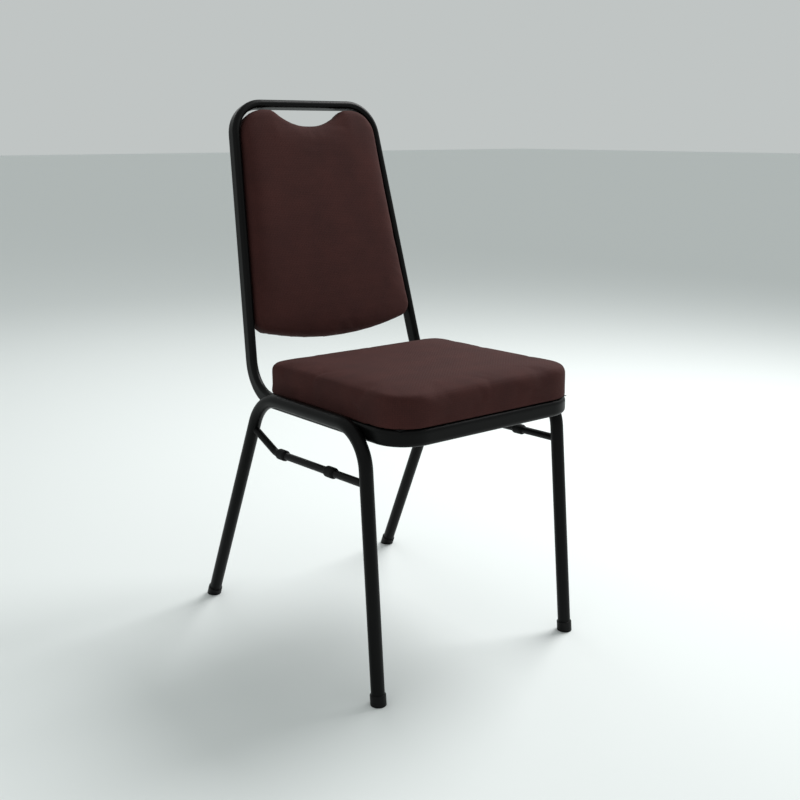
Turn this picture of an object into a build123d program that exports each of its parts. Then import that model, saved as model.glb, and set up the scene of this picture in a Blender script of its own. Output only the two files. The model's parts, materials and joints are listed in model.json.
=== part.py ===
"""Stacking chair with an upholstered seat and back on a welded tube frame.

Millimetres, +Z up. The origin is on the floor, under the middle of the chair. The chair
faces -Y and is the same on both sides of the YZ plane. Its left side is +X.
"""

import os
from math import cos, radians, sin

from build123d import *

# ---- driving dimensions ------------------------------------------------------------------
overall_depth = 567.0  # front rail to rear glides
foot_spread = 526.0  # front leg axis to rear leg axis, on the floor
front_foot_set_back = 27.5  # front leg axis on the floor, behind the front of the rail

# Seat rails and back bow: one size of flat-oval tube, with its long side upright in the
# seat and fore and aft in the back.
oval_long = 27.0
oval_thick = 14.0
oval_wall = 1.5

# The side rails and the stiles would meet at this corner if the bend were sharp.
corner_rise = 419.5
corner_to_front_rail = 409.0
corner_half_width = 188.4
front_half_width = 186.8
seat_slope = 0.02  # fall of the seat towards the back, per mm
front_corner_radius = 53.0
rear_bend_radius = 76.0

rake = 13.0  # lean of the back, degrees from upright
bow_rise = 509.0  # corner to the axis of the top bar, along the stiles
bow_half_width = 147.7
bow_corner_radius = 57.0
rail_joint = 190.0  # from the front rail's axis back to the joint in each side rail
sleeve_clearance = 0.1
sleeve_wall = 1.5
sleeve_half_length = 30.0

# Leg frames: round tube bent to an upside-down U on each side of the seat.
leg_radius = 11.1
leg_wall = 1.5
front_foot_half_width = 210.0
leg_lean = 0.0108  # how far a leg frame leans inwards, per mm of height
leg_toe = 0.0034  # how far it runs outwards, per mm towards the back
front_leg_slope = 0.0924
rear_leg_slope = 0.446
run_rise = 436.8  # height of the top run above the front feet
front_leg_bend = 67.0
rear_leg_bend = 86.0
tube_end = 7.5  # axis distance from the floor to the end of the leg tube
weld_places = (125.0, 250.0)  # along the run, back from the front foot
weld_drop = 8.0  # below the run's axis
weld_inset = 9.5  # from the run's axis towards the rail
weld_radius = 3.6
weld_half_length = 15.0
weld_end_radius = 2.5

brace_radius = 6.35
brace_wall = 1.2
brace_bend_radius = 28.0
brace_front_rise = 351.5
brace_bend = (289.0, 341.0)  # from the front foot back, and up
brace_rear_rise = 370.0
bumper_radius = 9.2
bumper_length = 26.0
bumper_clearance = 0.05
bumper_edge_radius = 5.5
front_bumper_back = 127.0  # from the front foot
rear_bumper_back = 268.0

glide_radius = 12.9
glide_height = 18.0
glide_rim_radius = 1.5
glide_foot_radius = 1.2

board_thick = 12.0
board_lift = 0.3  # over the rails, for the cloth folded under its edge
dust_cover_thick = 0.8
dust_cover_inset = 16.0
seat_half_width = 193.6
seat_front = -416.0  # in the seat plane, from the corner
seat_rear = -46.0
seat_front_corner = 58.0
seat_rear_corner = 31.0
seat_top = 66.0  # above the rails' axis
seat_edge_radius = 11.0
cover_thick = 1.2
cross_bar_size = 25.4
cross_bar_wall = 1.5
cross_bar_places = (-325.0, -95.0)
seat_screw_half_span = 120.0

pad_low = 83.0  # lowest point of the back pad, up the stiles from the corner
pad_low_corner = 110.0
pad_top = 499.0
pad_gap = 0.8  # between the pad and the stiles
pad_front = 22.0  # front face, forward of the stiles' axis
pad_edge_radius = 10.0
pad_corner_radius = 26.0
back_board_faces = (-5.0, 4.0)  # rear and front faces, from the stiles' axis
rear_panel = (-14.0, -10.6)  # rear face and floor of its pocket
rear_panel_rim = 7.0
rear_panel_edge_radius = 2.5
tab_heights = (190.0, 420.0)
tab_height = 24.0
tab_thick = 2.0
tab_reach = 30.0
tab_hole_inset = 19.0
tab_corner_radius = 5.0
grip_half_width = 78.0
grip_depth = 29.0
grip_corner_radius = 17.0

screw_radius = 2.95
screw_hole_radius = 3.2
screw_head_radius = 6.0
screw_head_height = 3.0
screw_head_edge_radius = 1.0
tee_flange_radius = 9.5
tee_flange_thick = 1.2
tee_barrel_radius = 3.9
tee_bore = 3.0
fastener_end_gap = 2.0  # from a screw or nut barrel to the far face of its board

# ---- planes ------------------------------------------------------------------------------
front_foot_y = -overall_depth / 2 + front_foot_set_back
corner_y = -overall_depth / 2 + oval_thick / 2 + corner_to_front_rail
corner = (0, corner_y, corner_rise)
seat_plane = Plane(corner, x_dir=(1, 0, 0), z_dir=(0, seat_slope, 1))
back_plane = Plane(corner, x_dir=(1, 0, 0), z_dir=(0, -cos(radians(rake)), sin(radians(rake))))
forward_axis = Axis(back_plane.origin, back_plane.z_dir)


def leg_plane(side):
    """Plane of one leg frame: x runs back from the front foot, y runs up."""
    return Plane(
        (side * front_foot_half_width, front_foot_y, 0),
        x_dir=(side * leg_toe, 1, 0),
        z_dir=(1, -side * leg_toe, side * leg_lean),
    )


def rail_half_width(back):
    """Half width of the seat frame at a distance back from the front rail."""
    share = back / corner_to_front_rail
    return front_half_width + share * (corner_half_width - front_half_width)


def stile_half_width(up):
    """Half width of the back frame at a distance up the stiles from the corner."""
    return corner_half_width + up / bow_rise * (bow_half_width - corner_half_width)


def oval(wall):
    """Section of the frame tube: hollow with a wall, filled without one."""
    SlotOverall(oval_long, oval_thick)
    if wall:
        SlotOverall(oval_long - 2 * wall, oval_thick - 2 * wall, mode=Mode.SUBTRACT)


def round_tube(radius, wall):
    """Section of a round tube: hollow with a wall, filled without one."""
    Circle(radius)
    if wall:
        Circle(radius - wall, mode=Mode.SUBTRACT)


# ---- frame: seat rails and back bow ------------------------------------------------------
def seat_rail_tube(wall):
    """The front rail and the front part of both side rails, as one bent tube."""
    joint = (rail_half_width(rail_joint), rail_joint - corner_to_front_rail)
    front = (front_half_width, -corner_to_front_rail)
    with BuildPart() as tube:
        with BuildLine(seat_plane) as path:
            FilletPolyline(
                (-joint[0], joint[1]),
                (-front[0], front[1]),
                front,
                joint,
                radius=front_corner_radius,
            )
        with BuildSketch(Plane(path.line @ 0, x_dir=seat_plane.z_dir, z_dir=path.line % 0)):
            oval(wall)
        sweep()
    return tube


def back_bow_tube(wall):
    """The rear part of both side rails, the stiles and the top bar, as one bent tube."""
    joint = seat_plane.from_local_coords(
        (rail_half_width(rail_joint), rail_joint - corner_to_front_rail)
    )
    rear = (corner_half_width, corner_y, corner_rise)
    top = back_plane.from_local_coords((bow_half_width, bow_rise))
    left_half = [tuple(joint), rear, tuple(top)]
    right_half = [(-x, y, z) for x, y, z in reversed(left_half)]
    with BuildPart() as tube:
        with BuildLine() as path:
            FilletPolyline(
                *left_half,
                *right_half,
                radius=[rear_bend_radius, bow_corner_radius, bow_corner_radius, rear_bend_radius],
            )
        with BuildSketch(Plane(path.line @ 0, x_dir=seat_plane.z_dir, z_dir=path.line % 0)):
            oval(wall)
        sweep()
    return tube


seat_rail = seat_rail_tube(oval_wall)
back_bow = back_bow_tube(oval_wall)


def rail_sleeve(side):
    """Inner sleeve that joins the seat rail to the back bow."""
    outer_inset = oval_wall + sleeve_clearance
    inner_inset = outer_inset + sleeve_wall
    here = seat_plane.from_local_coords(
        (side * rail_half_width(rail_joint), rail_joint - corner_to_front_rail)
    )
    rear = seat_plane.from_local_coords((side * corner_half_width, 0))
    with BuildPart() as sleeve:
        with BuildSketch(Plane(here, x_dir=seat_plane.z_dir, z_dir=rear - here)):
            SlotOverall(oval_long - 2 * outer_inset, oval_thick - 2 * outer_inset)
            SlotOverall(oval_long - 2 * inner_inset, oval_thick - 2 * inner_inset, mode=Mode.SUBTRACT)
        extrude(amount=sleeve_half_length, both=True)
    return sleeve


# ---- frame: legs and braces --------------------------------------------------------------
run_corner_front = run_rise * front_leg_slope
run_corner_rear = (foot_spread - rear_leg_slope * run_rise) / (1 - rear_leg_slope * seat_slope)


def leg_tube(side, wall):
    """One leg frame: front leg, top run beside the seat rail, rear leg."""
    front = (run_corner_front, run_rise - seat_slope * run_corner_front)
    rear = (run_corner_rear, run_rise - seat_slope * run_corner_rear)
    with BuildPart() as tube:
        with BuildLine(leg_plane(side)) as path:
            FilletPolyline(
                (front_leg_slope * tube_end, tube_end),
                front,
                rear,
                (foot_spread - rear_leg_slope * tube_end, tube_end),
                radius=[front_leg_bend, rear_leg_bend],
            )
        with BuildSketch(Plane(path.line @ 0, z_dir=path.line % 0)):
            round_tube(leg_radius, wall)
        sweep()
    return tube


def leg_brace(side, leg_core):
    """Bent stretcher between the legs, coped to them at both ends."""
    with BuildPart() as brace:
        with BuildLine(leg_plane(side)) as path:
            FilletPolyline(
                (front_leg_slope * brace_front_rise, brace_front_rise),
                brace_bend,
                (foot_spread - rear_leg_slope * brace_rear_rise, brace_rear_rise),
                radius=brace_bend_radius,
            )
        with BuildSketch(Plane(path.line @ 0, z_dir=path.line % 0)):
            round_tube(brace_radius, brace_wall)
        sweep()
        add(leg_core.part, mode=Mode.SUBTRACT)
    return brace


def brace_rise(back):
    """Height of the brace's axis in the long stretch in front of its bend."""
    start = front_leg_slope * brace_front_rise
    fall = (brace_front_rise - brace_bend[1]) / (brace_bend[0] - start)
    return brace_front_rise - fall * (back - start)


def stack_bumper(side, back):
    """Moulded sleeve on the brace that keeps stacked chairs apart."""
    place = leg_plane(side)
    here = place.from_local_coords((back, brace_rise(back)))
    ahead = place.from_local_coords((back + 10, brace_rise(back + 10)))
    with BuildPart() as bumper:
        with BuildSketch(Plane(here, z_dir=ahead - here)):
            Circle(bumper_radius)
        extrude(amount=bumper_length / 2, both=True)
        fillet(bumper.edges().filter_by(GeomType.CIRCLE), radius=bumper_edge_radius)
        with BuildSketch(Plane(here, z_dir=ahead - here)):
            Circle(brace_radius + bumper_clearance)
        extrude(amount=bumper_length, both=True, mode=Mode.SUBTRACT)
    return bumper


def glide(side, back, slope):
    """Foot cap pushed over the end of a leg, flat on the floor."""
    place = leg_plane(side)
    foot = place.from_local_coords((back, 0))
    up = place.from_local_coords((back + slope, 1)) - foot
    with BuildPart() as cap:
        with BuildSketch(Plane(foot, z_dir=up)):
            Circle(glide_radius)
        extrude(amount=glide_height)
        rim = cap.edges().filter_by(GeomType.CIRCLE).sort_by(Axis.Z)[-1]
        fillet(rim, radius=glide_rim_radius)
        with BuildSketch(Plane(foot, z_dir=up)):
            Circle(glide_radius)
        extrude(amount=-glide_radius)
        with BuildSketch(Plane(foot + up.normalized() * tube_end, z_dir=up)):
            Circle(leg_radius)
        extrude(amount=glide_height, mode=Mode.SUBTRACT)
        split(bisect_by=Plane.XY, keep=Keep.TOP)
        fillet(cap.edges().group_by(Axis.Z)[0], radius=glide_foot_radius)
    return cap


def run_welds(side, leg_core, rail_cores):
    """Weld beads under the top run, in the groove between it and the side rail."""
    place = leg_plane(side)
    with BuildPart() as beads:
        for back in weld_places:
            rise = run_rise - seat_slope * back - weld_drop
            middle = place.from_local_coords((back, rise)) - Vector(side * weld_inset, 0, 0)
            with BuildSketch(Plane(middle, z_dir=(0, 1, 0))):
                Circle(weld_radius)
            extrude(amount=weld_half_length, both=True)
        fillet(beads.edges().filter_by(GeomType.CIRCLE), radius=weld_end_radius)
        add(leg_core.part, mode=Mode.SUBTRACT)
        for core in rail_cores:
            add(core.part, mode=Mode.SUBTRACT)
    return beads


# ---- fasteners ---------------------------------------------------------------------------
def screws(face, points, length):
    """Screws with their heads under a face and their shanks on the other side of it."""
    with BuildPart() as group:
        with BuildSketch(face):
            with Locations(*points):
                Circle(screw_head_radius)
        extrude(amount=-screw_head_height)
        head_ends = group.edges().group_by(Axis(face.origin, face.z_dir))[0]
        fillet(head_ends, radius=screw_head_edge_radius)
        with BuildSketch(face):
            with Locations(*points):
                Circle(screw_radius)
        extrude(amount=length)
    return group


def tee_nuts(face, points, depth):
    """Flanged nuts let into a board from a face."""
    with BuildPart() as group:
        for radius, reach in ((tee_flange_radius, tee_flange_thick), (tee_barrel_radius, depth)):
            with BuildSketch(face):
                with Locations(*points):
                    Circle(radius)
            extrude(amount=-reach)
        with BuildSketch(face):
            with Locations(*points):
                Circle(tee_bore)
        extrude(amount=-depth, mode=Mode.SUBTRACT)
    return group


# ---- seat --------------------------------------------------------------------------------
def seat_outline(height, inset):
    """Plan of the seat cushion at a height above the rails' axis."""
    wide = seat_half_width - inset
    front = seat_front + inset
    rear = seat_rear - inset
    front_radius = seat_front_corner - inset
    rear_radius = seat_rear_corner - inset
    with BuildSketch(seat_plane.offset(height)) as outline:
        with BuildLine():
            FilletPolyline(
                (wide, front),
                (wide, rear),
                (-wide, rear),
                (-wide, front),
                radius=[front_radius, rear_radius, rear_radius, front_radius],
                close=True,
            )
        make_face()
    return outline.sketch


board_low = oval_long / 2 + board_lift
foam_low = board_low + board_thick


def cross_bar(back, rail_cores):
    """Square tube across the seat frame, coped to the side rails."""
    with BuildPart() as bar:
        middle = seat_plane.from_local_coords((0, back))
        with BuildSketch(Plane(middle, x_dir=seat_plane.y_dir, z_dir=(1, 0, 0))):
            Rectangle(cross_bar_size, cross_bar_size)
            Rectangle(
                cross_bar_size - 2 * cross_bar_wall,
                cross_bar_size - 2 * cross_bar_wall,
                mode=Mode.SUBTRACT,
            )
        extrude(amount=corner_half_width, both=True)
        with Locations(seat_plane.offset(cross_bar_size / 2)):
            with Locations((-seat_screw_half_span, back), (seat_screw_half_span, back)):
                Hole(screw_hole_radius)
        for core in rail_cores:
            add(core.part, mode=Mode.SUBTRACT)
    return bar


def seat_screw_points():
    """Where the seat screws pass, in the seat plane."""
    return [(x, y) for y in cross_bar_places for x in (-seat_screw_half_span, seat_screw_half_span)]


with BuildPart() as seat_board:
    extrude(seat_outline(board_low, cover_thick), amount=board_thick)
    with Locations(seat_plane.offset(foam_low)):
        with Locations(*seat_screw_points()):
            CounterBoreHole(tee_barrel_radius, tee_flange_radius, tee_flange_thick)

with BuildPart() as seat_foam:
    extrude(seat_outline(foam_low, cover_thick), amount=seat_top - cover_thick - foam_low)
    fillet(seat_foam.faces().sort_by(Axis.Z)[-1].edges(), radius=seat_edge_radius - cover_thick)

with BuildPart() as seat_cover:
    extrude(seat_outline(board_low, 0), amount=seat_top - board_low)
    fillet(seat_cover.faces().sort_by(Axis.Z)[-1].edges(), radius=seat_edge_radius)
    add(seat_foam.part, mode=Mode.SUBTRACT)
    extrude(seat_outline(board_low, cover_thick), amount=board_thick, mode=Mode.SUBTRACT)

with BuildPart() as seat_dust_cover:
    extrude(seat_outline(board_low - dust_cover_thick, dust_cover_inset), amount=dust_cover_thick)
    with Locations(seat_plane.offset(board_low)):
        with Locations(*seat_screw_points()):
            Hole(screw_hole_radius)

seat_screws = screws(
    seat_plane.offset(-cross_bar_size / 2),
    seat_screw_points(),
    cross_bar_size / 2 + foam_low - fastener_end_gap,
)
seat_tee_nuts = tee_nuts(
    seat_plane.offset(foam_low), seat_screw_points(), board_thick - fastener_end_gap
)


# ---- back --------------------------------------------------------------------------------
def back_outline(forward, inset):
    """Face of the back pad at a distance forward of the stiles' axis."""
    side_gap = oval_thick / 2 + pad_gap + inset
    low = (stile_half_width(pad_low_corner) - side_gap, pad_low_corner + inset)
    high = (stile_half_width(pad_top) - side_gap, pad_top - inset)
    grip = (grip_half_width + inset, pad_top - inset)
    with BuildSketch(back_plane.offset(forward)) as outline:
        with BuildLine():
            ThreePointArc((-low[0], low[1]), (0, pad_low + inset), low)
            Line(low, high)
            Line(high, grip)
            ThreePointArc(grip, (0, pad_top - grip_depth - inset), (-grip[0], grip[1]))
            Line((-grip[0], grip[1]), (-high[0], high[1]))
            Line((-high[0], high[1]), (-low[0], low[1]))
        make_face()
        low_corners = outline.vertices().group_by(Axis.Y)[0]
        fillet(low_corners, radius=pad_corner_radius)
        top = outline.vertices().group_by(Axis.Y)[-1].sort_by(Axis.X)
        fillet([top[0], top[-1]], radius=bow_corner_radius - side_gap)
        top = outline.vertices().group_by(Axis.Y)[-1].sort_by(Axis.X)
        fillet(top[1:-1], radius=grip_corner_radius - inset)
    return outline.sketch


def tab_points():
    """Where the back screws pass, in the back plane."""
    places = []
    for up in tab_heights:
        across = stile_half_width(up) - oval_thick / 2 - tab_hole_inset
        places += [(-across, up), (across, up)]
    return places


with BuildPart() as back_board:
    extrude(back_outline(back_board_faces[0], cover_thick), amount=back_board_faces[1] - back_board_faces[0])
    with Locations(back_plane.offset(back_board_faces[1])):
        with Locations(*tab_points()):
            CounterBoreHole(tee_barrel_radius, tee_flange_radius, tee_flange_thick)

with BuildPart() as back_foam:
    foam_thick = pad_front - cover_thick - back_board_faces[1]
    extrude(back_outline(back_board_faces[1], cover_thick), amount=foam_thick)
    front_edges = back_foam.faces().sort_by(forward_axis)[-1].edges()
    fillet(front_edges, radius=pad_edge_radius - cover_thick)

with BuildPart() as back_cover:
    extrude(back_outline(back_board_faces[0], 0), amount=pad_front - back_board_faces[0])
    fillet(back_cover.faces().sort_by(forward_axis)[-1].edges(), radius=pad_edge_radius)
    add(back_foam.part, mode=Mode.SUBTRACT)
    board_slot = back_outline(back_board_faces[0], cover_thick)
    extrude(board_slot, amount=back_board_faces[1] - back_board_faces[0], mode=Mode.SUBTRACT)


def back_tab(side, up, bow_core):
    """Flat steel tab from a stile inwards, behind the back board."""
    root = stile_half_width(up)
    tip = root - oval_thick / 2 - tab_reach
    with BuildPart() as tab:
        with BuildSketch(back_plane.offset(back_board_faces[0] - tab_thick)):
            with Locations((side * (root + tip) / 2, up)):
                Rectangle(root - tip, tab_height)
        extrude(amount=tab_thick)
        fillet(tab.edges().filter_by(forward_axis).sort_by(Axis.X)[::-side][0:2], radius=tab_corner_radius)
        add(bow_core.part, mode=Mode.SUBTRACT)
        with Locations(back_plane.offset(back_board_faces[0])):
            with Locations((side * (root - oval_thick / 2 - tab_hole_inset), up)):
                Hole(screw_hole_radius)
    return tab


leg_cores = {side: leg_tube(side, 0) for side in (-1, 1)}
rail_cores = [seat_rail_tube(0), back_bow_tube(0)]

with BuildPart() as back_tabs:
    for up in tab_heights:
        for side in (-1, 1):
            add(back_tab(side, up, rail_cores[1]).part)

with BuildPart() as back_rear_panel:
    extrude(back_outline(rear_panel[0], 0), amount=back_board_faces[0] - rear_panel[0])
    fillet(back_rear_panel.faces().sort_by(forward_axis)[0].edges(), radius=rear_panel_edge_radius)
    pocket = back_outline(rear_panel[1], rear_panel_rim)
    extrude(pocket, amount=back_board_faces[0] - rear_panel[1], mode=Mode.SUBTRACT)
    add(back_tabs.part, mode=Mode.SUBTRACT)

back_board_thick = back_board_faces[1] - back_board_faces[0]
back_screws = screws(
    back_plane.offset(back_board_faces[0] - tab_thick),
    tab_points(),
    back_board_thick + tab_thick - fastener_end_gap,
)
back_tee_nuts = tee_nuts(
    back_plane.offset(back_board_faces[1]), tab_points(), back_board_thick - fastener_end_gap
)


# ---- pieces ------------------------------------------------------------------------------
pieces = {
    "seat_rail": seat_rail,
    "back_bow": back_bow,
    "seat_board": seat_board,
    "seat_foam": seat_foam,
    "seat_cover": seat_cover,
    "seat_dust_cover": seat_dust_cover,
    "seat_screws": seat_screws,
    "seat_tee_nuts": seat_tee_nuts,
    "back_board": back_board,
    "back_foam": back_foam,
    "back_cover": back_cover,
    "back_tabs": back_tabs,
    "back_rear_panel": back_rear_panel,
    "back_screws": back_screws,
    "back_tee_nuts": back_tee_nuts,
}

for end, place in zip(("front", "rear"), cross_bar_places):
    pieces[f"cross_bar_{end}"] = cross_bar(place, rail_cores)

for name, side in (("left", 1), ("right", -1)):
    core = leg_cores[side]
    pieces[f"rail_sleeve_{name}"] = rail_sleeve(side)
    pieces[f"leg_frame_{name}"] = leg_tube(side, leg_wall)
    pieces[f"leg_brace_{name}"] = leg_brace(side, core)
    pieces[f"run_welds_{name}"] = run_welds(side, core, rail_cores)
    pieces[f"stack_bumper_front_{name}"] = stack_bumper(side, front_bumper_back)
    pieces[f"stack_bumper_rear_{name}"] = stack_bumper(side, rear_bumper_back)
    pieces[f"glide_front_{name}"] = glide(side, 0, front_leg_slope)
    pieces[f"glide_rear_{name}"] = glide(side, foot_spread, -rear_leg_slope)

os.makedirs("parts", exist_ok=True)
for name, piece in pieces.items():
    piece.part.label = name
    export_step(piece.part, f"parts/{name}.step")
    size = piece.part.bounding_box().size
    print(f"{name}: {len(piece.part.solids())} solid(s), {size.X:.1f} x {size.Y:.1f} x {size.Z:.1f} mm")
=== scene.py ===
# %% [markdown]
# # A stacking chair
# The chair is a frame of bent steel tube with a thick seat cushion and a padded back. The
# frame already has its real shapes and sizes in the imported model, so it only needs a finish
# here. The cushions, the covered rear panel and the dust cloth are soft, so they are made anew.

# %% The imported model
import json
from math import pi, radians, tanh

import bpy
from mathutils import Matrix, Vector

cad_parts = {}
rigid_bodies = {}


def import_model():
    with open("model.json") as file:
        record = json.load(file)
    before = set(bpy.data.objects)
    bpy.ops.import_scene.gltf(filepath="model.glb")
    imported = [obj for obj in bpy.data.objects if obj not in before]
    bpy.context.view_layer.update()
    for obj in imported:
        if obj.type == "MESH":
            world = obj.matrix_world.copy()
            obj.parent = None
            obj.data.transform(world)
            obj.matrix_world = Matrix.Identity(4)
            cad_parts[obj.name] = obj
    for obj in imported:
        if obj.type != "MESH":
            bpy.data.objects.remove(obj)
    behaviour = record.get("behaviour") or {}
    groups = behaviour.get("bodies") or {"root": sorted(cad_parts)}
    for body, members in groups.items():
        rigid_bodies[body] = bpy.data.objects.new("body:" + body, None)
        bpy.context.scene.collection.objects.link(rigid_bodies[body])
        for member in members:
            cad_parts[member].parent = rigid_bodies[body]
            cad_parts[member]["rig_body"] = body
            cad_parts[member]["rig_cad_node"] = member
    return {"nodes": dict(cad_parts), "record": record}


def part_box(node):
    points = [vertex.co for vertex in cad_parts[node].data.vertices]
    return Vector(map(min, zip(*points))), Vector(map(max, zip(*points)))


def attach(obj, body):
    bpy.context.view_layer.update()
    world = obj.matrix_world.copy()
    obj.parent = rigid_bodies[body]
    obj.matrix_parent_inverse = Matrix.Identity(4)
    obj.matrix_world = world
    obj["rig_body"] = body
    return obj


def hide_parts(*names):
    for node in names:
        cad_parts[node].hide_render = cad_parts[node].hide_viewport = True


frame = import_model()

scene = bpy.context.scene
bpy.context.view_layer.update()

# %% [markdown]
# ## Working on one piece at a time
# An operator acts on everything that is selected, and loading leaves the whole chair selected.
# So every step first deselects all, then selects the piece it works on.


# %% Selecting
def select_only(*objects):
    bpy.ops.object.select_all(action="DESELECT")
    for thing in objects:
        thing.select_set(True)
    bpy.context.view_layer.objects.active = objects[0]


def apply_all(piece):
    """Makes a piece's modifiers part of its mesh, from the first to the last."""
    select_only(piece)
    for name in [m.name for m in piece.modifiers]:
        bpy.ops.object.modifier_apply(modifier=name)


# %% [markdown]
# ## Colour and nodes
# A hex colour is written for a screen, and a shader wants it linear. One function turns one
# into the other. Another adds a node, sets its values and joins it to the nodes before it, so
# that a material below reads as a list of what is on the surface.


# %% Helpers for materials
def linear(hex_colour):
    """A screen colour such as 4a2f2e as the linear colour of a shader."""
    parts = [int(hex_colour[i : i + 2], 16) / 255 for i in (0, 2, 4)]
    return (*(c / 12.92 if c <= 0.04045 else ((c + 0.055) / 1.055) ** 2.4 for c in parts), 1)


def add_node(tree, kind, inputs=None, **settings):
    """A new node. An input is a value, or another node's output socket to link from."""
    made = tree.nodes.new(kind)
    for key, value in settings.items():
        setattr(made, key, value)
    for key, value in (inputs or {}).items():
        if isinstance(value, bpy.types.NodeSocket):
            tree.links.new(value, made.inputs[key])
        else:
            made.inputs[key].default_value = value
    return made


def new_material(name, **shader_values):
    """A material with its shader, and the constants set on the shader's own sockets."""
    material = bpy.data.materials.new(name)
    material.use_nodes = True
    shader = material.node_tree.nodes["Principled BSDF"]
    for key, value in shader_values.items():
        shader.inputs[key.replace("_", " ").title().replace("Ior", "IOR")].default_value = value
    return material, material.node_tree, shader


# %% [markdown]
# ## Satin black powder coat
# The tube is sprayed with a dry powder that melts into a thick, even skin. It is a plastic, so
# it isn't metallic, and its index of refraction is near 1.5. The melted grains leave a fine
# orange-peel of about half a millimetre, which breaks each highlight along the tube into a
# soft, slightly uneven line. The peel is drawn 2 mm across here, because half a millimetre is
# lost from where one sees a whole chair.


# %% Powder coat
def powder_coat(name, ripple_mm=None):
    material, tree, shader = new_material(name, ior=1.5)
    shader.inputs["Specular IOR Level"].default_value = 0.12
    where = add_node(tree, "ShaderNodeTexCoord").outputs["Object"]
    patches = add_node(
        tree, "ShaderNodeTexNoise", {"Vector": where, "Scale": 9.0, "Detail": 3.0}
    ).outputs["Fac"]
    peel = add_node(
        tree, "ShaderNodeTexNoise", {"Vector": where, "Scale": 500.0, "Detail": 2.0}
    ).outputs["Fac"]
    tone = add_node(tree, "ShaderNodeValToRGB", {"Fac": patches})
    tone.color_ramp.elements[0].position = 0.35
    tone.color_ramp.elements[0].color = linear("040404")
    tone.color_ramp.elements[1].position = 0.7
    tone.color_ramp.elements[1].color = linear("080808")
    tree.links.new(tone.outputs["Color"], shader.inputs["Base Color"])
    gloss = add_node(
        tree, "ShaderNodeMapRange", {"Value": patches, "To Min": 0.34, "To Max": 0.46}
    )
    tree.links.new(gloss.outputs["Result"], shader.inputs["Roughness"])
    height = peel
    if ripple_mm:
        ripple = add_node(
            tree,
            "ShaderNodeTexWave",
            {"Vector": where, "Scale": 1000 / ripple_mm / 2 / pi, "Distortion": 1.5},
            bands_direction="Y",
        ).outputs["Fac"]
        height = add_node(
            tree, "ShaderNodeMath", {0: ripple, 1: peel}, operation="ADD"
        ).outputs["Value"]
    bump = add_node(tree, "ShaderNodeBump", {"Height": height, "Strength": 0.25, "Distance": 0.0004})
    tree.links.new(bump.outputs["Normal"], shader.inputs["Normal"])
    return material


frame_paint = powder_coat("satin_black_powder_coat")
weld_paint = powder_coat("powder_coat_over_weld_bead", ripple_mm=2.5)
print("paints:", frame_paint.name, weld_paint.name)

# %% [markdown]
# ## Steel without paint
# The screws and nuts are plated with zinc, a pale metal with a faint mottle. The sleeves inside
# the rails are bare drawn tube. A metal's colour is the colour of its reflection, and it keeps
# the default index of refraction.


# %% Bare and plated steel
def metal(name, dark, light, roughness, grain_mm):
    material, tree, shader = new_material(name, metallic=1.0)
    where = add_node(tree, "ShaderNodeTexCoord").outputs["Object"]
    grain = add_node(
        tree, "ShaderNodeTexNoise", {"Vector": where, "Scale": 1000 / grain_mm, "Detail": 4.0}
    ).outputs["Fac"]
    colour = add_node(tree, "ShaderNodeValToRGB", {"Fac": grain})
    colour.color_ramp.elements[0].color = linear(dark)
    colour.color_ramp.elements[1].color = linear(light)
    tree.links.new(colour.outputs["Color"], shader.inputs["Base Color"])
    gloss = add_node(
        tree,
        "ShaderNodeMapRange",
        {"Value": grain, "To Min": roughness - 0.08, "To Max": roughness + 0.08},
    )
    tree.links.new(gloss.outputs["Result"], shader.inputs["Roughness"])
    return material


zinc = metal("zinc_plated_steel", "a8aaa6", "d2d3cd", roughness=0.34, grain_mm=3.0)
tube_steel = metal("bare_drawn_steel_tube", "6d6f72", "8f9194", roughness=0.4, grain_mm=1.5)
print("metals:", zinc.name, tube_steel.name)

# %% [markdown]
# ## Moulded plastic
# The foot caps are nylon and the bumpers polyethylene. Both come out of a mould with a fine
# spark-eroded texture of about 0.3 mm, drawn 1.2 mm across so that it shows. Polyethylene is
# waxier, so its highlight is wider.


# %% Foot caps and bumpers
def moulded(name, colour_low, colour_high, roughness):
    material, tree, shader = new_material(name, ior=1.52)
    shader.inputs["Specular IOR Level"].default_value = 0.15
    where = add_node(tree, "ShaderNodeTexCoord").outputs["Object"]
    texture = add_node(
        tree, "ShaderNodeTexVoronoi", {"Vector": where, "Scale": 830.0}
    ).outputs["Distance"]
    scuffs = add_node(
        tree, "ShaderNodeTexNoise", {"Vector": where, "Scale": 120.0, "Detail": 5.0}
    ).outputs["Fac"]
    colour = add_node(tree, "ShaderNodeValToRGB", {"Fac": scuffs})
    colour.color_ramp.elements[0].position = 0.4
    colour.color_ramp.elements[0].color = linear(colour_low)
    colour.color_ramp.elements[1].position = 0.75
    colour.color_ramp.elements[1].color = linear(colour_high)
    tree.links.new(colour.outputs["Color"], shader.inputs["Base Color"])
    gloss = add_node(
        tree,
        "ShaderNodeMapRange",
        {"Value": scuffs, "To Min": roughness, "To Max": roughness + 0.15},
    )
    tree.links.new(gloss.outputs["Result"], shader.inputs["Roughness"])
    bump = add_node(tree, "ShaderNodeBump", {"Height": texture, "Strength": 0.3, "Distance": 0.0002})
    tree.links.new(bump.outputs["Normal"], shader.inputs["Normal"])
    return material


nylon = moulded("moulded_black_nylon", "050505", "0c0c0c", roughness=0.42)
polyethylene = moulded("moulded_black_polyethylene", "050505", "0d0d0d", roughness=0.55)
print("plastics:", nylon.name, polyethylene.name)

# %% [markdown]
# ## Plywood
# The boards are unfinished plywood. Its face veneer has long grain along the chair's width,
# a few millimetres apart, with paler and darker bands.

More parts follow.
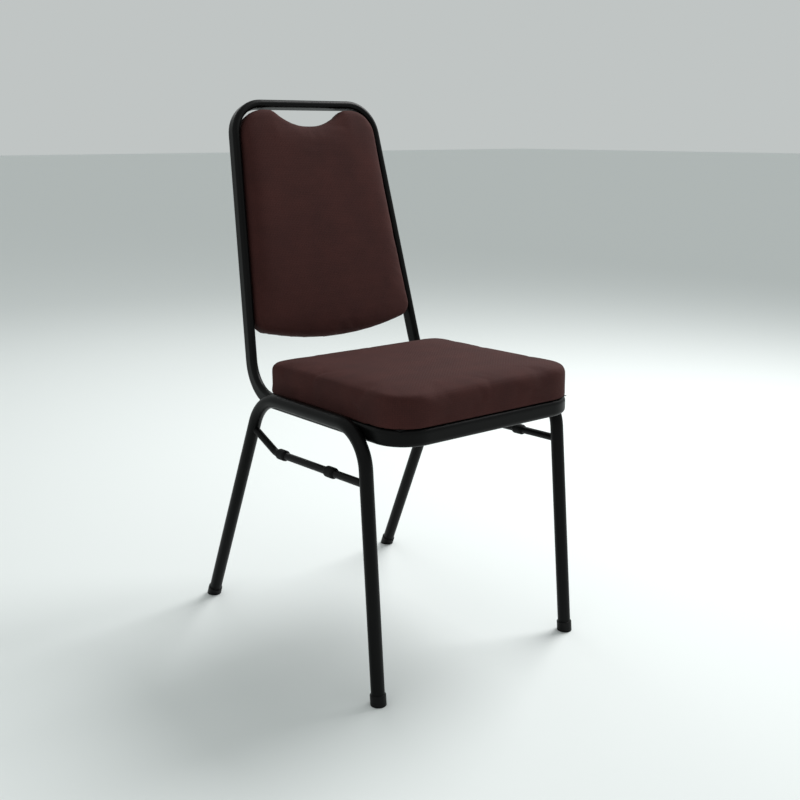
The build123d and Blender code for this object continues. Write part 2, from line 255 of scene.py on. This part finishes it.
# %% Plywood
plywood, tree, shader = new_material("unfinished_plywood", roughness=0.72, ior=1.45)
where = add_node(tree, "ShaderNodeTexCoord").outputs["Object"]
along = add_node(
    tree, "ShaderNodeMapping", {"Vector": where, "Scale": (6.0, 130.0, 130.0)}
).outputs["Vector"]
grain = add_node(
    tree, "ShaderNodeTexNoise", {"Vector": along, "Scale": 1.0, "Detail": 6.0, "Distortion": 0.4}
).outputs["Fac"]
colour = add_node(tree, "ShaderNodeValToRGB", {"Fac": grain})
colour.color_ramp.elements[0].position = 0.3
colour.color_ramp.elements[0].color = linear("a67e52")
colour.color_ramp.elements[1].position = 0.7
colour.color_ramp.elements[1].color = linear("d3b186")
tree.links.new(colour.outputs["Color"], shader.inputs["Base Color"])
bump = add_node(tree, "ShaderNodeBump", {"Height": grain, "Strength": 0.3, "Distance": 0.0003})
tree.links.new(bump.outputs["Normal"], shader.inputs["Normal"])

# %% [markdown]
# ## Cloth
# The cushions are covered in a plain-woven polyester: each thread goes over one and under the
# next, in both directions. Its threads are about 0.6 mm apart, and they are drawn 3 mm apart
# so that they show on a whole chair. The cloth is dark maroon-brown with a little variation
# from thread to thread, and its loose fibre ends catch the light at grazing angles, which the
# shader's sheen gives. The pattern follows the piece's own UV map, which is in metres.

# %% Woven cloth
thread = 0.003


def woven(name, dark, light, sheen_tint, sheen):
    material, tree, shader = new_material(name, roughness=0.9, ior=1.45)
    shader.inputs["Sheen Weight"].default_value = sheen
    shader.inputs["Sheen Roughness"].default_value = 0.45
    shader.inputs["Sheen Tint"].default_value = linear(sheen_tint)
    shader.inputs["Specular IOR Level"].default_value = 0.25
    uv = add_node(tree, "ShaderNodeUVMap", uv_map="weave").outputs["UV"]
    across, along = (
        add_node(tree, "ShaderNodeSeparateXYZ", {"Vector": uv}).outputs[axis] for axis in ("X", "Y")
    )
    ridges = []
    for direction in (across, along):
        turn = add_node(
            tree, "ShaderNodeMath", {0: direction, 1: pi / thread}, operation="MULTIPLY"
        ).outputs["Value"]
        wave = add_node(tree, "ShaderNodeMath", {0: turn}, operation="SINE").outputs["Value"]
        ridge = add_node(tree, "ShaderNodeMath", {0: wave}, operation="ABSOLUTE")
        ridges.append(ridge.outputs["Value"])
    over = add_node(
        tree, "ShaderNodeTexChecker", {"Vector": uv, "Scale": 1 / thread}
    ).outputs["Fac"]
    weave = add_node(tree, "ShaderNodeMix", {0: over, 2: ridges[0], 3: ridges[1]}).outputs[0]
    where = add_node(tree, "ShaderNodeTexCoord").outputs["Object"]
    blotches = add_node(
        tree, "ShaderNodeTexNoise", {"Vector": where, "Scale": 22.0, "Detail": 5.0}
    ).outputs["Fac"]
    yarn = add_node(
        tree, "ShaderNodeTexNoise", {"Vector": uv, "Scale": 420.0, "Detail": 2.0}
    ).outputs["Fac"]
    lightness = add_node(
        tree, "ShaderNodeMath", {0: weave, 1: 0.22, 2: 0.08}, operation="MULTIPLY_ADD"
    ).outputs["Value"]
    for part, share in ((blotches, 0.45), (yarn, 0.35)):
        lightness = add_node(
            tree, "ShaderNodeMath", {0: part, 1: share, 2: lightness}, operation="MULTIPLY_ADD"
        ).outputs["Value"]
    colour = add_node(tree, "ShaderNodeValToRGB", {"Fac": lightness})
    colour.color_ramp.elements[0].position = 0.3
    colour.color_ramp.elements[0].color = linear(dark)
    colour.color_ramp.elements[1].position = 1.0
    colour.color_ramp.elements[1].color = linear(light)
    tree.links.new(colour.outputs["Color"], shader.inputs["Base Color"])
    folds = add_node(
        tree, "ShaderNodeTexNoise", {"Vector": where, "Scale": 14.0, "Detail": 1.0}
    ).outputs["Fac"]
    slack = add_node(tree, "ShaderNodeBump", {"Height": folds, "Strength": 0.3, "Distance": 0.0012})
    threads = add_node(
        tree,
        "ShaderNodeBump",
        {"Height": weave, "Strength": 0.3, "Distance": 0.0003, "Normal": slack.outputs["Normal"]},
    )
    tree.links.new(threads.outputs["Normal"], shader.inputs["Normal"])
    return material


cloth = woven("plain_woven_maroon_polyester", "2c1615", "4a2622", "7a4238", 0.04)

# %% [markdown]
# ## The dust cloth's finish
# Under the seat is a black felt of pressed fibres, without a weave. It is matt, and its fibres
# lie in every direction, so a fine noise stands for them, 4 mm long.

# %% Pressed felt
felt, tree, shader = new_material("pressed_black_felt", roughness=0.95, ior=1.45)
shader.inputs["Specular IOR Level"].default_value = 0.2
where = add_node(tree, "ShaderNodeTexCoord").outputs["Object"]
fibres = add_node(
    tree, "ShaderNodeTexNoise", {"Vector": where, "Scale": 250.0, "Detail": 6.0, "Distortion": 2.0}
).outputs["Fac"]
colour = add_node(tree, "ShaderNodeValToRGB", {"Fac": fibres})
colour.color_ramp.elements[0].color = linear("0b0b0b")
colour.color_ramp.elements[1].color = linear("262626")
tree.links.new(colour.outputs["Color"], shader.inputs["Base Color"])
bump = add_node(tree, "ShaderNodeBump", {"Height": fibres, "Strength": 0.5, "Distance": 0.0005})
tree.links.new(bump.outputs["Normal"], shader.inputs["Normal"])

# %% [markdown]
# ## Giving the CAD pieces their finishes
# The record says which slot each piece belongs to. The weld beads are painted with the frame,
# but keep the ripples of the welding under the paint.

# %% Finishes by slot
finishes = {
    "frame_paint": frame_paint,
    "sleeve_steel": tube_steel,
    "fastener_steel": zinc,
    "plywood": plywood,
    "glide_plastic": nylon,
    "bumper_plastic": polyethylene,
    "dust_cloth": felt,
    "seat_cloth": cloth,
    "back_cloth": cloth,
    "foam": felt,
}
for part in frame["record"]["subparts"]:
    node = frame["nodes"][part["node"]]
    finish = weld_paint if "weld" in part["node"] else finishes[part["material_slot"]]
    node.data.materials.clear()
    node.data.materials.append(finish)

# %% [markdown]
# ## A closed skin for a cushion
# Cover, foam and board are in the model as solids. The cloth hides the other two, so copies
# of the three are joined and covered with one even skin of small squares. Such a skin
# bends alike everywhere, which the cloth simulation needs.


# %% From solids to a skin
skin_square = 0.004


def skin_over(name, nodes, voxel, shift=(0, 0, 0)):
    copies = []
    for node in nodes:
        copy = frame["nodes"][node].copy()
        copy.data = copy.data.copy()
        copy.parent = None
        copy.hide_viewport = False
        copy.hide_render = False
        del copy["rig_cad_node"]
        del copy["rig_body"]
        scene.collection.objects.link(copy)
        copies.append(copy)
    select_only(*copies)
    if len(copies) > 1:
        bpy.ops.object.join()
    skin = bpy.context.view_layer.objects.active
    skin.name = name
    skin.data.name = name
    bpy.ops.object.mode_set(mode="EDIT")
    bpy.ops.mesh.select_all(action="SELECT")
    bpy.ops.mesh.remove_doubles(threshold=0.00001)
    bpy.ops.transform.translate(value=shift)
    bpy.ops.object.mode_set(mode="OBJECT")
    remesh = skin.modifiers.new("skin", "REMESH")
    remesh.mode = "VOXEL"
    remesh.voxel_size = voxel
    remesh.use_smooth_shade = True
    apply_all(skin)
    keep_outer_shell(skin)
    print(name, "has", len(skin.data.vertices), "points")
    return skin


def keep_outer_shell(skin):
    """Removes pockets of skin that the remesh leaves inside, in the board's holes."""
    for part in (skin.data.vertices, skin.data.edges, skin.data.polygons):
        part.foreach_set("select", [False] * len(part))
    outermost = max(skin.data.vertices, key=lambda v: v.co.x)
    outermost.select = True
    bpy.ops.object.mode_set(mode="EDIT")
    bpy.ops.mesh.select_mode(type="VERT")
    bpy.ops.mesh.select_linked()
    bpy.ops.mesh.select_all(action="INVERT")
    bpy.ops.mesh.delete(type="VERT")
    bpy.ops.object.mode_set(mode="OBJECT")


# %% [markdown]
# ## Filling the skin
# Foam pushes the cloth out from inside. The cloth simulation does this with a pressure, and no
# gravity, because the foam carries the cloth. How far each point may go depends on which way
# it faces: far on the face one sits on or leans on, a little at the sides, and not at all
# where the cushion rests on the frame. The simulated push is scaled down to the real height of
# the crown, and near its limit a point slows down instead of stopping, so it stays round.


# %% Pressure
sim_frames = 20
sim_reach = 1.6  # furthest simulated push, in crown limits


def fill(skin, crown, crown_limit, side_limit, low_limit, ramp=None):
    """Swells a skin. ramp(point) is 0 where the cloth is held and 1 where it is free."""
    crown = Vector(crown).normalized()
    rest = [v.co.copy() for v in skin.data.vertices]
    limits = []
    for v in skin.data.vertices:
        facing = v.normal.dot(crown)
        if facing > 0:
            limit = side_limit + (crown_limit - side_limit) * facing
        else:
            limit = side_limit + (side_limit - low_limit) * facing
        limits.append(limit * ramp(v.co) if ramp else limit)
    select_only(skin)
    cloth_modifier = skin.modifiers.new("filling", "CLOTH")
    cloth_modifier.settings.use_pressure = True
    cloth_modifier.settings.uniform_pressure_force = 4.0
    cloth_modifier.settings.effector_weights.gravity = 0.0
    cloth_modifier.point_cache.frame_start = 1
    cloth_modifier.point_cache.frame_end = sim_frames
    for step in range(1, sim_frames + 1):
        scene.frame_set(step)
    bpy.ops.object.modifier_apply(modifier="filling")
    scene.frame_set(1)
    moved = [v.co.copy() for v in skin.data.vertices]
    furthest = max((end - start).length for start, end in zip(rest, moved))
    share = sim_reach * crown_limit / furthest
    for v, start, end, limit in zip(skin.data.vertices, rest, moved, limits):
        way = (end - start) * share
        if limit < 1e-6 or way.length < 1e-9:
            v.co = start
        else:
            v.co = start + way.normalized() * limit * tanh(way.length / limit)
    print(skin.name, "pushed up to", round(furthest * 1000, 1), "mm before the limits")


def weave_scale(mesh):
    """The middle value of map length over real length, for one edge in each 50th face."""
    corners = mesh.uv_layers["weave"].data
    scales = []
    for face in list(mesh.polygons)[::50]:
        start, end = face.loop_start, face.loop_start + 1
        real = [mesh.vertices[mesh.loops[i].vertex_index].co for i in (start, end)]
        scales.append((corners[end].uv - corners[start].uv).length / (real[1] - real[0]).length)
    return sorted(scales)[len(scales) // 2]


def finish_cushion(skin, nodes):
    smooth = skin.modifiers.new("tension", "SMOOTH")
    smooth.factor = 0.5
    smooth.iterations = 2
    finer = skin.modifiers.new("finer", "SUBSURF")
    finer.levels = 1
    finer.render_levels = 1
    apply_all(skin)
    bpy.ops.object.shade_smooth()
    bpy.ops.object.mode_set(mode="EDIT")
    bpy.ops.mesh.select_all(action="SELECT")
    bpy.ops.uv.cube_project(cube_size=1.0, scale_to_bounds=False)
    bpy.ops.object.mode_set(mode="OBJECT")
    skin.data.uv_layers[0].name = "weave"
    skin.data.materials.clear()
    skin.data.materials.append(cloth)
    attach(skin, "root")
    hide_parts(*nodes)
    for limit in (min, max):
        corner = [round(limit(v.co[axis] for v in skin.data.vertices), 4) for axis in range(3)]
        print(skin.name, limit.__name__, *corner)
    print(skin.name, "weave map, metres for each metre of cloth:", round(weave_scale(skin.data), 3))


# %% [markdown]
# ## The seat cushion
# A block of foam on a board, in a cover with boxed sides. The top is crowned because the foam
# is a little too big for its cover. Low down, the cover is held tight between the leg tubes
# and stapled under the board, so the ramp leaves it where it is there.

# %% Seat cushion
run_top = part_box("leg_frame_left")[1].z
held_below_run_top = 0.004
ramp_height = 0.014


def seat_ramp(point):
    """0 up to just below the top of the leg tubes, 1 from a centimetre above it."""
    return min(1.0, max(0.0, (point.z - run_top + held_below_run_top) / ramp_height))


seat_solids = ["seat_cover", "seat_foam", "seat_board"]
seat_cushion = skin_over("seat_cushion", seat_solids, skin_square)
fill(
    seat_cushion, (0, 0, 1), crown_limit=0.009, side_limit=0.006, low_limit=0.0, ramp=seat_ramp
)
finish_cushion(seat_cushion, seat_solids)

# %% [markdown]
# ## The back pad
# A thinner pad on a board, shaped to the inside of the tube, with a dip at the top for a
# hand. It is close to the tube on both sides, so it swells forward and hardly sideways.

# %% Back pad
rake = radians(13)
forward = Matrix.Rotation(-rake, 3, "X") @ Vector((0, -1, 0))

back_solids = ["back_cover", "back_foam", "back_board"]
back_pad = skin_over("back_pad", back_solids, skin_square)
fill(back_pad, forward, crown_limit=0.007, side_limit=0.0014, low_limit=0.0)
finish_cushion(back_pad, back_solids)

# %% [markdown]
# ## The rear panel
# The back of the pad is closed with a thin cloth-covered board of the same outline. It is a
# copy of the back board, moved behind it, and only slightly padded.

# %% Rear panel
panel_centre = sum(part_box("back_rear_panel"), Vector()) / 2
board_centre = sum(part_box("back_board"), Vector()) / 2
behind = (panel_centre - board_centre).dot(-forward)
rear_panel = skin_over("rear_panel", ["back_board"], skin_square, shift=-forward * behind)
fill(rear_panel, -forward, crown_limit=0.0025, side_limit=0.0008, low_limit=0.0)
finish_cushion(rear_panel, ["back_rear_panel"])
print("rear panel lies", round(behind * 1000, 1), "mm behind the board")

# %% [markdown]
# ## The dust cloth
# A thin felt is stapled under the seat and hangs a little between the two cross bars. It
# starts as a grid, because a sheet needs points in its middle to sag. The points in the middle
# are pulled down with a soft falloff that ends before it reaches the bars.

# %% Dust cloth
felt_thickness = 0.0007
sag_depth = 0.003
low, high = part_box("seat_dust_cover")
slope = (high.z - low.z - 0.0008) / (high.y - low.y)
middle = (low + high) / 2
bpy.ops.object.select_all(action="DESELECT")
bpy.ops.mesh.primitive_grid_add(
    x_subdivisions=70, y_subdivisions=66, size=1, location=(0, middle.y, middle.z)
)
dust_cloth = bpy.context.object
dust_cloth.name = "dust_cloth"
bpy.ops.object.transform_apply(location=True, rotation=True, scale=True)
bpy.ops.object.mode_set(mode="EDIT")
bpy.ops.transform.resize(
    value=(high.x - low.x, high.y - low.y, 1), center_override=(0, middle.y, middle.z)
)
bpy.ops.object.mode_set(mode="OBJECT")
bar_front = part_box("cross_bar_front")[1].y
bar_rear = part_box("cross_bar_rear")[0].y
bay = (bar_front + bar_rear) / 2
reach = ((bar_rear - bar_front) / 2 * 0.95, (high.x - low.x) / 2 * 0.8)
for v in dust_cloth.data.vertices:
    along = abs(v.co.y - bay) / reach[0]
    across = abs(v.co.x) / reach[1]
    sag = max(0.0, 1 - along**2) ** 2 * max(0.0, 1 - across**4) ** 2
    v.co.z = middle.z - slope * (v.co.y - middle.y) - sag_depth * sag
thick = dust_cloth.modifiers.new("felt", "SOLIDIFY")
thick.thickness = felt_thickness
thick.offset = 0.0
apply_all(dust_cloth)
bpy.ops.object.shade_smooth()
dust_cloth.data.materials.append(felt)
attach(dust_cloth, "root")
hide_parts("seat_dust_cover")
print("dust cloth sags", sag_depth * 1000, "mm")
print("between the bars at", round(bar_front, 3), "and", round(bar_rear, 3))

# %% [markdown]
# ## Floor, light and camera
# A pale floor and soft light from large lamps show the black tube by its highlights. The main
# lamp is high on the sitter's left, so the seat's top is the brightest cloth and the back,
# which it only grazes, stays darker. The camera stands to the sitter's front right, a little
# below the height of the chair's top.

# %% Floor
bpy.ops.object.select_all(action="DESELECT")
bpy.ops.mesh.primitive_plane_add(size=80, location=(0, 0, 0))
floor = bpy.context.object
floor.name = "floor"
floor_paint, tree, shader = new_material("pale_floor", roughness=0.8)
shader.inputs["Base Color"].default_value = linear("e6eae9")
floor.data.materials.append(floor_paint)

# %% Light
world = bpy.data.worlds.new("studio")
scene.world = world
world.use_nodes = True
background = world.node_tree.nodes["Background"]
background.inputs["Color"].default_value = linear("d2d7d6")
background.inputs["Strength"].default_value = 0.82


def lamp(name, place, size, power, target=(0, 0, 0.5)):
    data = bpy.data.lights.new(name, "AREA")
    data.shape = "DISK"
    data.size = size
    data.energy = power
    made = bpy.data.objects.new(name, data)
    scene.collection.objects.link(made)
    made.location = place
    made.rotation_euler = (Vector(target) - Vector(place)).to_track_quat("-Z", "Y").to_euler()


lamp("main_lamp", (1.9, 0.1, 2.6), 1.6, 78)
lamp("fill_lamp", (-2.4, -1.0, 1.8), 2.0, 3)
lamp("rim_lamp", (0.6, 2.6, 2.2), 1.8, 8)

# %% Camera
camera_data = bpy.data.cameras.new("camera")
camera_data.sensor_width = 36.0
camera_data.lens = 47.56
camera_data.shift_x = 0.0138
camera_data.shift_y = -0.0019
camera = bpy.data.objects.new("camera", camera_data)
scene.collection.objects.link(camera)
camera.matrix_world = (
    Matrix.Translation((-1.1068, -1.4411, 0.8685))
    @ Matrix.Rotation(radians(-37.75), 4, "Z")
    @ Matrix.Rotation(radians(90 - 14.156), 4, "X")
)
scene.camera = camera
scene.view_settings.view_transform = "Standard"
